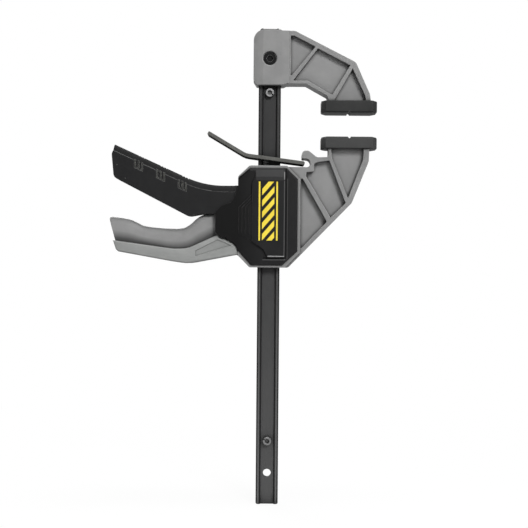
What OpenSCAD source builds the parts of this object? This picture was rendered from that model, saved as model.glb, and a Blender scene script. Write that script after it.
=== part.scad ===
// Quick release bar clamp for one hand, standing on the foot of its bar.
// The fixed jaw is at the top. The moving jaw slides on the bar with its handle, trigger and brake lever.
// X runs from the bar toward the pads, Y from the front to the back, and Z up along the bar.

/* [Bar] */
// Length of the bar
bar_l = 392.6; // [340:0.1:480]
// Width of the bar across its flanges
bar_w = 18.3; // [17:0.1:19.5]
// Depth of the bar, front to back
bar_t = 8; // [7:0.1:9]
// Width of each flange of the bar's I section
bar_flange = 3.3; // [2.6:0.1:4.2]
// Thickness of the web between the flanges
bar_web = 4.4; // [3.6:0.1:5.2]
// Radius of the fixing hole near the foot of the bar
foot_hole_r = 3.3; // [2.8:0.1:3.8]
// Height of the fixing hole above the foot
foot_hole_h = 25.5; // [20:0.5:32]
// Height of the end stop pin above the foot
end_pin_h = 52.4; // [46:0.1:60]
// Radius of the two rolled spring pins
spring_pin_r = 3.4; // [2.6:0.1:3.5]
// Wall of the rolled spring pins
spring_pin_wall = 1.5; // [0.8:0.1:1.6]

/* [Jaws] */
// Depth of the jaws, front to back
jaw_t = 22; // [19:0.5:24]
// Thickness of the web inside the jaws' rims
jaw_web = 6; // [4:0.5:8]
// From the bar's centre line to the fixed jaw's outer edge
head_reach = 83; // [78:0.5:90]
// Height of the fixed jaw above its pad's seat
head_h = 57.1; // [52:0.1:63]
// How far the bar stands out of the top of the fixed jaw
bar_proud = 2.8; // [1:0.1:4]
// From the bar's centre line to the moving jaw's outer edge
jaw_reach = 82; // [77:0.5:88]
// Height of the pad's seat above the top of the housing
seat_rise = 14.5; // [13:0.5:17]
// Gap between the pads as drawn
jaw_gap = 19.8; // [8:0.1:80]
// Length of each pad
pad_l = 45.9; // [42:0.1:50]
// Depth of each pad, front to back
pad_t = 27; // [26:0.5:31]
// Height of each pad
pad_h = 9.8; // [8:0.1:11]
// From the bar's centre line to the middle of the pads
pad_x = 65.4; // [64.5:0.1:67]
// Depth of the pocket in each pad
pad_pocket = 5; // [3:0.1:6]

/* [Screw] */
// Radius of the jaw screw's shank
screw_r = 2.9; // [2.4:0.1:3.2]
// Radius of the jaw screw's head
screw_head_r = 5.2; // [4.6:0.1:5.6]
// Height of the jaw screw's head
screw_head_h = 3; // [2.4:0.1:3.4]
// Width across the flats of the nut
nut_flats = 10; // [9:0.1:10.5]
// Height of the nut
nut_h = 4; // [3:0.1:4.5]

/* [Housing] */
// Height of the housing
housing_h = 83.5; // [78:0.5:90]
// Width of the housing
housing_w = 50.8; // [49:0.1:54]
// Depth of the housing, front to back, between the covers
housing_t = 26; // [25.6:0.1:29]
// Thickness of the covers at their lobes
cover_t = 2; // [1.8:0.1:3]
// Height of each of the five steps on a cover
cover_step = 0.6; // [0.3:0.02:0.7]

/* [Handle and trigger] */
// From the bar's centre line to the end of the handle
grip_reach = 131.6; // [122:0.1:142]
// Depth of the handle's palm flange
palm_t = 27; // [25.5:0.1:30]
// Thickness of the handle's upright web
palm_web = 16; // [12:0.1:17]
// Depth of the trigger, front to back
trigger_t = 24.6; // [24:0.1:25]
// Wall of the trigger's channel
trigger_wall = 2.5; // [2:0.1:3]
// Height of the soft strip along the top of the trigger
strip_h = 5; // [4:0.1:6]
// Radius of the trigger's pivot pin
pivot_r = 2.5; // [2:0.1:2.8]
// From the bar's centre line to the trigger's pivot
pivot_x = 16.5; // [16:0.1:17]
// Height of the trigger's pivot as a share of the housing's height
pivot_share = 0.515; // [0.505:0.001:0.525]

/* [Drive and brake] */
// Thickness of each drive plate
plate_t = 2.6; // [2:0.1:3]
// Thickness of the brake lever
lever_t = 2.9; // [2.4:0.1:3.2]
// Width of the brake lever, front to back
lever_w = 21; // [20.4:0.1:21.6]
// Length of the brake lever's sloping tab
tab_l = 36; // [30:0.5:42]
// Tilt of the brake lever at rest, in degrees
lever_tilt = 7.4; // [6.5:0.1:8]
// Slope of the brake lever's tab, in degrees
tab_tilt = 30.6; // [26:0.1:35]
// Wire radius of the drive spring
drive_wire_r = 0.8; // [0.6:0.05:0.9]
// Wire radius of the two brake springs
brake_wire_r = 0.35; // [0.25:0.05:0.4]

/* [Hidden] */
$fn = 48;

// Clearances between pieces, and the overrun of every cut
fit = 0.1;
slide = 0.3;
gap = 0.35;
over = 1;

// Turn of one facet where a corner is rounded, in degrees
arc_step = 12;

// Heights along the bar, from the foot up
head_top = bar_l - bar_proud;
head_seat = head_top - head_h;
jaw_face = head_seat - pad_h - jaw_gap;
body_seat = jaw_face - pad_h;
body_h = housing_h + seat_rise;
base = body_seat - body_h;
housing_top = base + housing_h;

// Half sizes that many pieces share
half_w = housing_w / 2;
half_t = housing_t / 2;
half_jaw = jaw_t / 2;
slot_w = bar_w + 2 * slide;
slot_t = bar_t + 2 * slide;

// Corner [x, z, r] of an outline: only its place, and the points of its rounding
function place(c) = [c[0], c[1]];
function toward(v) = v / norm(v);
function corner_points(last, at, next) =
    at[2] == 0 ? [place(at)] :
    let (
        back = toward(place(last) - place(at)),
        ahead = toward(place(next) - place(at)),
        half = acos(back * ahead) / 2,
        centre = place(at) + toward(back + ahead) * at[2] / sin(half),
        from = place(at) + back * at[2] / tan(half) - centre,
        to = place(at) + ahead * at[2] / tan(half) - centre,
        start = atan2(from[1], from[0]),
        turn = (atan2(to[1], to[0]) - start + 540) % 360 - 180,
        steps = ceil(abs(turn) / arc_step)
    )
    [for (i = [0:steps]) centre + at[2] * [cos(start + turn * i / steps), sin(start + turn * i / steps)]];
function rounded(corners) =
    let (n = len(corners))
    [for (i = [0:n - 1]) each corner_points(corners[(i + n - 1) % n], corners[i], corners[(i + 1) % n])];

// Corners written as shares of a width and a height, set out from an origin
function spread(shares, w, h, x = 0, z = 0) =
    [for (s = shares) [x + s[0] * w, z + s[1] * h, len(s) > 2 ? s[2] * h : 0]];

// A place on the housing, as shares of its half width and of its height
function on_housing(s) = [s[0] * half_w, base + s[1] * housing_h];

// Flat outline in X and Z, made solid from the depth near to the depth far
module slab(points, near, far) {
    translate([0, far, 0])
        rotate([90, 0, 0])
            linear_extrude(far - near)
                polygon(points);
}

// Round bar along Y at [x, z]
module rod(at, r, near, far, sides = $fn) {
    translate([at[0], far, at[1]])
        rotate([90, 0, 0])
            cylinder(r = r, h = far - near, $fn = sides);
}

// The same shape on the front and on the back
module both_sides() {
    children();
    mirror([0, 1, 0])
        children();
}

// The bar and its pins
foot_chamfer = 1;
head_chamfer = 2.2;
groove = (bar_t - bar_web) / 2;
groove_slope = 0.6;
groove_half = bar_w / 2 - bar_flange;
head_bottom_share = 0.22;
head_bottom = head_seat + head_bottom_share * head_h;
screw_share = 0.6;
screw_at = [0, head_seat + screw_share * head_h];
head_pin_drop = 2.5;
head_pin_at = [0, head_bottom - spring_pin_r - head_pin_drop];
end_pin_at = [0, end_pin_h];
pin_half = bar_t / 2 + spring_pin_r;
pin_slot = 1;
pin_recess = 2.5;
end_pin_lean = 205;
head_pin_lean = 40;

module bar() {
    section = [
        [-bar_w / 2, -bar_t / 2], [-groove_half, -bar_t / 2],
        [groove_slope - groove_half, groove - bar_t / 2], [groove_half - groove_slope, groove - bar_t / 2],
        [groove_half, -bar_t / 2], [bar_w / 2, -bar_t / 2],
        [bar_w / 2, bar_t / 2], [groove_half, bar_t / 2],
        [groove_half - groove_slope, bar_t / 2 - groove], [groove_slope - groove_half, bar_t / 2 - groove],
        [-groove_half, bar_t / 2], [-bar_w / 2, bar_t / 2]
    ];
    side = [
        [foot_chamfer - bar_w / 2, 0], [bar_w / 2 - foot_chamfer, 0],
        [bar_w / 2, foot_chamfer], [bar_w / 2, bar_l - head_chamfer],
        [bar_w / 2 - head_chamfer, bar_l], [head_chamfer - bar_w / 2, bar_l],
        [-bar_w / 2, bar_l - head_chamfer], [-bar_w / 2, foot_chamfer]
    ];
    color([0.22, 0.22, 0.23])
        difference() {
            intersection() {
                linear_extrude(bar_l)
                    polygon(section);
                slab(side, -bar_t, bar_t);
            }
            rod([0, foot_hole_h], foot_hole_r, -bar_t, bar_t);
            rod(end_pin_at, spring_pin_r + fit / 2, -bar_t, bar_t);
            rod(head_pin_at, spring_pin_r + fit / 2, -bar_t, bar_t);
            rod(screw_at, screw_r + fit, -bar_t, bar_t);
        }
}

module spring_pin(at, lean) {
    translate([at[0], 0, at[1]])
        rotate([0, lean, 0])
            difference() {
                rod([0, 0], spring_pin_r, -pin_half, pin_half);
                both_sides() {
                    rod([0, 0], spring_pin_r - spring_pin_wall, -pin_half - over, pin_recess - pin_half);
                    translate([0, -pin_half - over, -pin_slot / 2])
                        cube([spring_pin_r + over, pin_recess + over, pin_slot]);
                }
            }
}

module end_stop_pin() {
    color([0.55, 0.55, 0.56])
        spring_pin(end_pin_at, end_pin_lean);
}

module head_stop_pin() {
    color([0.55, 0.55, 0.56])
        spring_pin(head_pin_at, head_pin_lean);
}

// The fixed jaw: a block round the bar's end, and a lattice arm with rims, ribs and a thin web
head_shares = [
    [0.585, 0], [1, 0], [0.99, 0.1, 0.08], [0.85, 0.555, 0.1], [0.247, 1, 0.07], [0.12, 1],
    [0.105, 1.014], [-0.163, 1.014, 0.15],
    [-0.163, 0.29, 0.05], [-0.13, 0.22], [0.136, 0.22], [0.166, 0.24], [0.358, 0.24, 0.05],
    [0.566, 0.072, 0.02]
];
head_pocket_shares = [
    [[0.204, 0.36], [0.216, 0.356], [0.442, 0.762], [0.446, 0.777], [0.24, 0.93, 0.02], [0.204, 0.93]],
    [[0.229, 0.285], [0.375, 0.285, 0.03], [0.6, 0.095], [0.619, 0.088], [0.795, 0.511], [0.473, 0.75]],
    [[0.635, 0], [0.953, 0], [0.948, 0.068, 0.04], [0.819, 0.465]]
];
head_face_shares = [
    [-0.163, 0.76], [-0.12, 0.89], [-0.069, 1], [0.114, 1], [0.188, 0.97], [0.196, 0.9], [1.1, 0.9]
];
rim_half = 0.9 * half_jaw;
tongue_play = 0.15;
tongue_left_share = 0.6;
tongue_right_share = 0.97;
counterbore_r = screw_head_r + gap;
counterbore_h = screw_head_h + 1.4 * fit;
counterbore_rim = 0.7;
nut_seat = half_jaw - nut_h + fit;
nut_r = nut_flats / sqrt(3);

module jaw_tongue(reach, seat, step) {
    left = tongue_left_share * reach;
    right = tongue_right_share * reach;
    end = seat + step * (pad_pocket - tongue_play);
    inside = seat - step * over;
    slab([[left, inside], [right, inside], [right, end], [left, end]], -rim_half, rim_half);
}

module fixed_jaw() {
    face = [for (s = head_face_shares) [s[0] * head_reach, s[1] * half_jaw]];
    back_first = [for (i = [len(face) - 1:-1:0]) face[i]];
    color([0.52, 0.52, 0.52])
        difference() {
            union() {
                intersection() {
                    slab(rounded(spread(head_shares, head_reach, head_h, 0, head_seat)), -half_jaw, half_jaw);
                    translate([0, 0, head_seat - over])
                        linear_extrude(head_h + 3 * over)
                            polygon(concat([for (p = face) [p[0], -p[1]]], back_first));
                }
                jaw_tongue(head_reach, head_seat, -1);
            }
            both_sides()
                for (pocket = head_pocket_shares)
                    slab(rounded(spread(pocket, head_reach, head_h, 0, head_seat)),
                         -half_jaw - over, -jaw_web / 2);
            translate([0, 0, head_seat + head_h / 2])
                cube([bar_w + 2 * fit, bar_t + 2 * fit, head_h + 4 * over], center = true);
            rod(screw_at, screw_r + fit, -jaw_t, jaw_t);
            rod(screw_at, counterbore_r, -jaw_t, -half_jaw + counterbore_h + screw_head_h / 2);
            translate([screw_at[0], -half_jaw, screw_at[1]])
                rotate([90, 0, 0])
                    translate([0, 0, -counterbore_rim])
                        cylinder(r1 = counterbore_r, r2 = counterbore_r + counterbore_rim + over,
                                 h = counterbore_rim + over);
            rod(screw_at, nut_r + fit, nut_seat, jaw_t, 6);
        }
}

module jaw_screw() {
    seat = -half_jaw + counterbore_h + screw_head_h / 2;
    color([0.12, 0.12, 0.12])
        difference() {
            union() {
                rod(screw_at, screw_head_r, seat - screw_head_h, seat);
                rod(screw_at, screw_r, seat - over, half_jaw - fit);
            }
            rod(screw_at, screw_r, seat - screw_head_h - over, seat - screw_head_h / 3, 6);
        }
}

module jaw_nut() {
    color([0.6, 0.6, 0.6])
        difference() {
            rod(screw_at, nut_r, nut_seat, half_jaw - 2 * fit, 6);
            rod(screw_at, screw_r + fit / 2, 0, jaw_t);
        }
}

// A pad: a soft cap over the jaw's tongue, rounded at its corners, with a notch across its clamping face
pad_corner = 1.6;
pad_plan_r = 4;
notch_w = 2.6;
notch_d = 1.4;

module pad(reach, seat, step) {
    left = pad_x - pad_l / 2;
    right = pad_x + pad_l / 2;
    face = seat + step * pad_h;
    groove_at = face - step * notch_d;
    soft = [
        [left, seat, pad_corner / 2], [right, seat, pad_corner / 2],
        [right, face, pad_corner], [left, face, pad_corner]
    ];
    plan = [
        [left, -pad_t / 2, pad_plan_r], [right, -pad_t / 2, pad_plan_r],
        [right, pad_t / 2, pad_plan_r], [left, pad_t / 2, pad_plan_r]
    ];
    pocket_left = tongue_left_share * reach - tongue_play;
    pocket_right = tongue_right_share * reach + tongue_play;
    pocket_end = seat + step * pad_pocket;
    difference() {
        intersection() {
            slab(rounded(soft), -pad_t, pad_t);
            translate([0, 0, seat - 2 * pad_h])
                linear_extrude(4 * pad_h)
                    polygon(rounded(plan));
        }
        slab([[pocket_left, seat - step * over], [pocket_right, seat - step * over],
              [pocket_right, pocket_end], [pocket_left, pocket_end]],
             -rim_half - tongue_play, rim_half + tongue_play);
        slab([[pad_x - notch_w / 2, face + step * over / 10], [pad_x + notch_w / 2, face + step * over / 10],
              [pad_x + notch_w / 8, groove_at], [pad_x - notch_w / 8, groove_at]], -pad_t, pad_t);
    }
}

module fixed_jaw_pad() {
    color([0.2, 0.2, 0.2])
        pad(head_reach, head_seat, -1);
}

module moving_jaw_pad() {
    color([0.2, 0.2, 0.2])
        pad(jaw_reach, body_seat, 1);
}

// The brake lever's rocking end and the hooked notch that holds it
rock_at = [0.338 * jaw_reach, housing_top + 0.86 * lever_t];
notch_at = [rock_at[0] + 0.9 * lever_t, rock_at[1]];
notch_r = 1.2 * lever_t;
hook_x = notch_at[0] - notch_r;
ledge = notch_at[1] - 0.95 * notch_r;

// The moving jaw and housing: one moulding with a lattice arm, and a cavity open to both covers
body_lower_shares = [[-0.183, 0, 0.03], [0.195, 0, 0.03], [0.827, 0.544, 0.06], [0.995, 0.893, 0.08], [1, 1]];
body_neck_shares = [[0.593, 1], [0.593, 0.929, 0.014], [0.475, 0.926, 0.05], [0.394, 0.981, 0.03]];
body_pocket_shares = [
    [[0.318, 0.167], [0.33, 0.166], [0.577, 0.382], [0.579, 0.391], [0.338, 0.745], [0.318, 0.745]],
    [[0.617, 0.42], [0.768, 0.545], [0.605, 0.893], [0.6, 0.9], [0.484, 0.886, 0.02], [0.45, 0.871],
     [0.447, 0.807, 0.01], [0.373, 0.8], [0.368, 0.765]],
    [[0.79, 0.585], [0.939, 0.908, 0.05], [0.945, 0.96], [0.945, 1], [0.616, 1], [0.627, 0.917]]
];
octagon_shares = [
    [-0.62, 0, 0.03], [0.543, 0, 0.02], [1, 0.147, 0.03], [1, 0.867, 0.02], [0.567, 1, 0.01], [-0.63, 1, 0.04],
    [-1, 0.892, 0.03], [-1, 0.12, 0.03]
];
cavity_shares = [
    [-0.55, 0.09], [0.472, 0.09], [0.882, 0.21], [0.882, 0.766], [0.61, 0.856], [-0.59, 0.856],
    [-0.858, 0.778], [-0.858, 0.18]
];
floor_share = 0.09;
cavity_floor = base + floor_share * housing_h;
pivot_at = [pivot_x, base + pivot_share * housing_h];
boss_r = 2 * pivot_r;
lug_t = 3.15;
arm_play = 1;
arm_out = half_t - lug_t - gap;
arm_in = bar_t / 2 + arm_play;
web_gap = 1.5;

module body_outline(near, far) {
    hook_top = base + 0.981 * body_h;
    left_side = [for (i = [5:7]) octagon_shares[i]];
    slab(rounded(concat(
        spread(body_lower_shares, jaw_reach, body_h, 0, base),
        spread(body_neck_shares, jaw_reach, body_h, 0, base),
        [
            [hook_x, hook_top, lever_t],
            [hook_x, notch_at[1] + 1.25 * lever_t, lever_t / 3],
            [notch_at[0], notch_at[1] + 1.25 * lever_t, 0],
            [notch_at[0], ledge, 0],
            [0.19 * jaw_reach, ledge, 0],
            [0.18 * jaw_reach, housing_top, 0]
        ],
        spread(left_side, half_w, housing_h, 0, base)
    )), near, far);
}

// Lower and upper ends of the mouth through which the trigger swings
mouth_low = 0.34 * housing_h;
mouth_mid = 0.515 * housing_h;
mouth_high = 0.818 * housing_h;
spring_pocket_r = 2.75;
brake_spring_r = 2.05;
brake_spring_at = [-0.16 * bar_w, bar_t / 2 + spring_pocket_r + 2 * slide];
brake_spring_depth = 7;
brake_spring_low = housing_top - brake_spring_depth;
peg_r = 1.6;
peg_l = 6;
cover_screw_r = 1.25;
cover_screw_l = 8;
corner_shares = [[-0.5, 0.92], [0.53, 0.92], [-0.5, 0.055], [0.36, 0.055]];

module jaw_body() {
    wall_in = half_w * 0.75;
    color([0.54, 0.54, 0.54])
        difference() {
            union() {
                body_outline(-half_jaw, half_jaw);
                slab(rounded(spread(octagon_shares, half_w, housing_h, 0, base)), -half_t, half_t);
                jaw_tongue(jaw_reach, body_seat, 1);
            }
            difference() {
                slab([for (s = cavity_shares) on_housing(s)], -half_t - over, half_t + over);
                both_sides()
                    pivot_lug();
            }
            both_sides()
                for (pocket = body_pocket_shares)
                    slab(rounded(spread(pocket, jaw_reach, body_h, 0, base)), -half_jaw - over, -jaw_web / 2);
            translate([0, 0, base + housing_h / 2])
                cube([slot_w, slot_t, housing_h + 2 * over], center = true);
            rod(notch_at, notch_r, -jaw_t, jaw_t);
            translate([-half_w - over, -half_t - over, base + mouth_mid])
                cube([half_w - wall_in + 2 * over, housing_t + 2 * over, mouth_high - mouth_mid]);
            both_sides()
                translate([-half_w - over, -half_t - over, base + mouth_low])
                    cube([half_w - wall_in + 2 * over, half_t + over - palm_web / 2 - web_gap,
                          mouth_high - mouth_low]);
            both_sides()
                translate([brake_spring_at[0], -brake_spring_at[1], brake_spring_low])
                    cylinder(r = spring_pocket_r, h = housing_h);
            rod(pivot_at, pivot_r + fit / 2, -half_t, half_t);
            for (s = corner_shares) {
                rod(on_housing(s), peg_r + fit, -half_t - over, -half_t + peg_l + fit);
                rod(on_housing(s), cover_screw_r + fit, half_t - cover_screw_l, half_t + over);
            }
        }
}

// Ear inside the housing that carries one end of the trigger's pin
module pivot_lug() {
    slab([[pivot_x - boss_r, pivot_at[1] - boss_r], [half_w, pivot_at[1] - boss_r],
          [half_w, pivot_at[1] + boss_r], [pivot_x - boss_r, pivot_at[1] + boss_r]],
         -half_t, lug_t - half_t);
}

// The handle: an upright web over a wide flange for the palm
lobe_edge_shares = [[-1.65, 0.317], [-1.575, 0.293], [-1.14, 0.236], [-1.04, 0.204], [-1, 0.15]];
// Stations along the web: x and z of its foot in the flange, then x and z of its top
web_shares = [
    [-0.961, 0.265, -0.997, 0.474], [-0.947, 0.261, -0.982, 0.489], [-0.863, 0.242, -0.882, 0.469],
    [-0.824, 0.231, -0.832, 0.438], [-0.777, 0.218, -0.783, 0.403], [-0.702, 0.195, -0.702, 0.386],
    [-0.637, 0.172, -0.624, 0.378], [-0.586, 0.163, -0.573, 0.377], [-0.538, 0.166, -0.527, 0.388],
    [-0.484, 0.188, -0.489, 0.424], [-0.443, 0.222, -0.449, 0.48], [-0.395, 0.262, -0.413, 0.513],
    [-0.331, 0.317, -0.38, 0.52], [-0.29, 0.26, -0.33, 0.535]
];
// Half of the web's section: shares of its half thickness and of its height
web_section_shares = [[0.86, -0.08], [0.97, 0.16], [1, 0.36], [0.96, 0.58], [0.82, 0.79], [0.52, 0.95], [0.2, 1]];
web_sides = 2 * len(web_section_shares);
flange_top_shares = [[-0.97, 0.257], [-0.6, 0.178, 0.3], [-0.51, 0.178, 0.3]];
flange_bottom_shares = [[-0.5, 0.031, 0.4], [-0.61, 0.056, 0.3], [-0.935, 0.146, 0.02], [-0.95, 0.166, 0.02]];
root_bottom_share = 0.125;
wall_x = -half_w;
panel_shares = [[-0.456, 0.107], [-0.456, 0.158], [-0.318, 0.27], [-0.233, 0.215]];
panel_deep = 0.7;

function web_ring(s, low_x, low_z, top_x, top_z) =
    let (y = s[0] * palm_web / 2, x = low_x + s[1] * (top_x - low_x), z = low_z + s[1] * (top_z - low_z))
    [x, y, z];

// Faces of a tube of n rings, each with the same number of points
function tube_faces(n, sides) = concat(
    [for (i = [0:n - 1], k = [0:sides - 1])
        let (a = i * sides + k, b = i * sides + (k + 1) % sides)
        each [[a, a + sides, b + sides], [a, b + sides, b]]],
    [for (k = [1:sides - 2]) each [[0, k, k + 1], [n * sides, n * sides + k + 1, n * sides + k]]]
);

// The web, rounded over its top and drawn in above the flange
module web() {
    root_top = base + mouth_mid - slide;
    foot = base + root_bottom_share * housing_h + over;
    stations = concat(
        [for (s = web_shares) [s[0] * grip_reach, base + s[1] * housing_h, s[2] * grip_reach,
                               base + s[3] * housing_h]],
        [[wall_x, foot, wall_x, root_top]]
    );
    down = [for (i = [len(web_section_shares) - 1:-1:0]) web_section_shares[i]];
    section = concat(web_section_shares, [for (s = down) [-s[0], s[1]]]);
    polyhedron(
        points = [for (t = stations, s = section) web_ring(s, t[0], t[1], t[2], t[3])],
        faces = tube_faces(len(stations) - 1, web_sides)
    );
}

module handle() {
    lower = spread(flange_bottom_shares, grip_reach, housing_h, 0, base);
    root = [wall_x, base + root_bottom_share * housing_h, 0];
    palm_edge = spread(lobe_edge_shares, half_w, housing_h, 0, base);
    color([0.58, 0.58, 0.57])
        union() {
            web();
            difference() {
                slab(rounded(concat(
                    spread(flange_top_shares, grip_reach, housing_h, 0, base),
                    palm_edge, [root], lower
                )), -palm_t / 2, palm_t / 2);
                both_sides()
                    slab(rounded(spread(panel_shares, grip_reach, housing_h, 0, base)),
                         -palm_t, panel_deep - palm_t / 2);
            }
        }
}

// A cover: a plate with a lobe over the trigger's root, and a plateau in five steps with bevelled sides
cover_shares = [
    [0.43, 0.02], [0.92, 0.16], [0.92, 0.865], [0.56, 0.975], [-0.61, 0.975], [-0.995, 0.875], [-1, 0.79],
    [-1.11, 0.695], [-1.22, 0.635, 0.02], [-1.53, 0.6, 0.03], [-1.73, 0.545, 0.05], [-1.73, 0.345, 0.03]
];
cover_foot_shares = [[-0.985, 0.16], [-0.57, 0.02]];
plateau_shares = [
    [-0.543, 0.26], [-0.543, 0.82], [-0.43, 0.9], [-0.43, 1.1], [0.53, 1.1], [0.53, 0.104], [-0.035, 0.104],
    [-0.157, 0.177]
];
terrace_shares = [[0, 0.329], [0, 0.587], [0.6, 0.769], [0.6, 0.212]];
terrace_at_share = -0.976;
terrace_shift_share = 0.106;
terraces = 5;
// A groove round the plateau's right side and foot
groove_shares = [
    [0.508, 1.1], [0.508, 0.104], [-0.2, 0.104], [-0.2, 0.083], [0.575, 0.083], [0.575, 1.1]
];
groove_deep = 1;
bevel_shares = [
    [[0.56, 0.975], [-0.61, 0.975], 0.29],
    [[-0.61, 0.975], [-0.995, 0.875], 0.2],
    [[0.92, 0.865], [0.56, 0.975], 0.12],
    [[0.92, 0.16], [0.92, 0.865], 0.1],
    [[0.43, 0.02], [0.92, 0.16], 0.14],
    [[-0.57, 0.02], [0.43, 0.02], 0.1],
    [[-0.985, 0.16], [-0.57, 0.02], 0.24]
];
plateau = cover_t + terraces * cover_step;
edge_t = 0.35 * cover_t;

// Cuts away the plateau's edge between two outline points, down to edge_t over the width
module bevel(from, to, width) {
    along = to - from;
    length = norm(along);
    drop = plateau - edge_t;
    translate([from[0], -half_t - edge_t, from[1]])
        rotate([0, -atan2(along[1], along[0]), 0])
            rotate([atan2(drop, width), 0, 0])
                translate([-length, -length, -length])
                    cube([3 * length, length, 3 * length]);
}

module cover_blank(inner_shares) {
    outline = rounded(spread(concat(cover_shares, inner_shares, cover_foot_shares), half_w, housing_h, 0, base));
    difference() {
        union() {
            slab(outline, -half_t - cover_t, -half_t);
            intersection() {
                slab(outline, -half_t - plateau, -half_t);
                union() {
                    for (i = [1:terraces - 1]) {
                        left = terrace_at_share + (i - 1) * terrace_shift_share;
                        slab([for (s = terrace_shares) on_housing([s[0] + left, s[1]])],
                             -half_t - cover_t - i * cover_step, -half_t);
                    }
                    slab([for (s = plateau_shares) on_housing(s)], -half_t - plateau, -half_t);
                }
            }
        }
        for (b = bevel_shares)
            bevel(on_housing(b[0]), on_housing(b[1]), b[2] * half_w);
        slab([for (s = groove_shares) on_housing(s)], -half_t - plateau - over, -half_t - cover_t + groove_deep);
    }
}

// Heads of the cover screws, sunk in the rear cover
screw_cap_r = 2.3;
screw_cap_h = 1.4;
cap_seat = half_t + cover_t / 2;

module front_cover() {
    color([0.13, 0.13, 0.13])
        union() {
            cover_blank(lobe_edge_shares);
            for (s = corner_shares)
                rod(on_housing(s), peg_r, -half_t - fit, -half_t + peg_l);
        }
}

module rear_cover() {
    color([0.13, 0.13, 0.13])
        difference() {
            mirror([0, 1, 0])
                cover_blank(lobe_edge_shares);
            for (s = corner_shares) {
                rod(on_housing(s), cover_screw_r + fit, 0, 2 * half_t);
                rod(on_housing(s), screw_cap_r + fit, cap_seat, 2 * half_t);
            }
        }
}

module cover_screws() {
    color([0.15, 0.15, 0.15])
        for (s = corner_shares)
            difference() {
                union() {
                    rod(on_housing(s), cover_screw_r, half_t - cover_screw_l + fit, cap_seat + fit);
                    rod(on_housing(s), screw_cap_r, cap_seat, cap_seat + screw_cap_h);
                }
                rod(on_housing(s), cover_screw_r, cap_seat + screw_cap_h / 2, 2 * half_t, 6);
            }
}

// The trigger: a channel open below, with two arms that straddle the bar and press on the plates
trigger_left_shares = [-0.982, -0.968, 0.876];
trigger_bottom_shares = [[-0.502, 0.498, 0.1], [-0.412, 0.524, 0.15]];
strip_top_shares = [[-0.963, 1.198, 0.02], [-0.4046, 0.8, 0.9]];
strip_end_share = -0.21;
root_top_share = 0.802;
root_low_share = 0.528;
tie_right_share = -0.68;
tie_left_share = -1.1;
crown_t = 1.5;
nose_r = 4;
nose_at = [-0.11 * bar_w, pivot_at[1] - 0.4 * pivot_r];
plates_top = nose_at[1] - nose_r - slide;

function strip_line(drop) = [
    for (c = spread(strip_top_shares, grip_reach, housing_h, 0, base)) [c[0] - drop / 4, c[1] - drop, c[2]]
];

// Combs of the soft strip, let into the trigger's cheeks below the parting line
comb_shares = [-0.841, -0.703, -0.567];
comb_finger = 1.5;
comb_space = 1.35;
comb_fingers = 3;
comb_drop = 6.2;
comb_bar = 1.2;
comb_deep = 0.8;
comb_w = comb_fingers * comb_finger + (comb_fingers - 1) * comb_space;

module comb_part(from, to, high, low) {
    parting = strip_line(strip_h);
    slope = (parting[1][1] - parting[0][1]) / (parting[1][0] - parting[0][0]);
    start = parting[0][1] + slope * (from - parting[0][0]);
    end = parting[0][1] + slope * (to - parting[0][0]);
    slab([[from, start + high], [from, start - low], [to, end - low], [to, end + high]],
         -trigger_t / 2, comb_deep - trigger_t / 2);
}

module trigger() {
    strip_x = strip_end_share * grip_reach;
    root_top = base + root_top_share * housing_h;
    root_low = base + root_low_share * housing_h;
    tie_right = tie_right_share * bar_w;
    tie_left = tie_left_share * bar_w;
    parting = strip_line(strip_h);
    ceiling = strip_line(strip_h + crown_t);
    channel_half = trigger_t / 2 - trigger_wall;
    arm = [
        [tie_left, root_low], [tie_right, root_low], [nose_at[0] - 0.8 * nose_r, nose_at[1] - nose_r / 2],
        [nose_at[0] + nose_r, nose_at[1] - nose_r / 2], [pivot_x, pivot_at[1] - 0.8 * boss_r],
        [pivot_x, pivot_at[1] + 0.95 * boss_r], [tie_right, root_top - strip_h], [tie_left, root_top - strip_h]
    ];
    color([0.15, 0.15, 0.15])
        difference() {
            union() {
                slab(rounded(concat(
                    [parting[1], [strip_x, parting[1][1], 0], [strip_x, root_top, 0], [tie_left, root_top, 0],
                     [tie_right, root_top - strip_h, 0], [tie_right, root_low, 0]],
                    spread([for (i = [1:-1:0]) trigger_bottom_shares[i]], grip_reach, housing_h, 0, base),
                    [
                        [trigger_left_shares[1] * grip_reach, base + trigger_left_shares[2] * housing_h, strip_h],
                        [trigger_left_shares[0] * grip_reach, parting[0][1] - strip_h / 2, strip_h],
                        [parting[0][0], parting[0][1], 0]
                    ]
                )), -trigger_t / 2, trigger_t / 2);
                both_sides() {
                    slab(arm, -arm_out, -arm_in);
                    rod(nose_at, nose_r, -arm_out, -arm_in);
                    rod(pivot_at, boss_r, -arm_out, -arm_in);
                }
            }
            slab(rounded([
                [-grip_reach - over, base, 0], [tie_left, base, 0], [tie_left, ceiling[1][1], 0], ceiling[1],
                [ceiling[0][0], ceiling[0][1], 0], [ceiling[0][0], ceiling[0][1] - strip_h, 0],
                [-grip_reach - over, ceiling[0][1] - strip_h, 0]
            ]), -channel_half, channel_half);
            rod(pivot_at, pivot_r + fit / 2, -half_t, half_t);
            both_sides()
                for (c = comb_shares)
                    comb_part(c * grip_reach, c * grip_reach + comb_w, over, comb_drop);
        }
}

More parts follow.
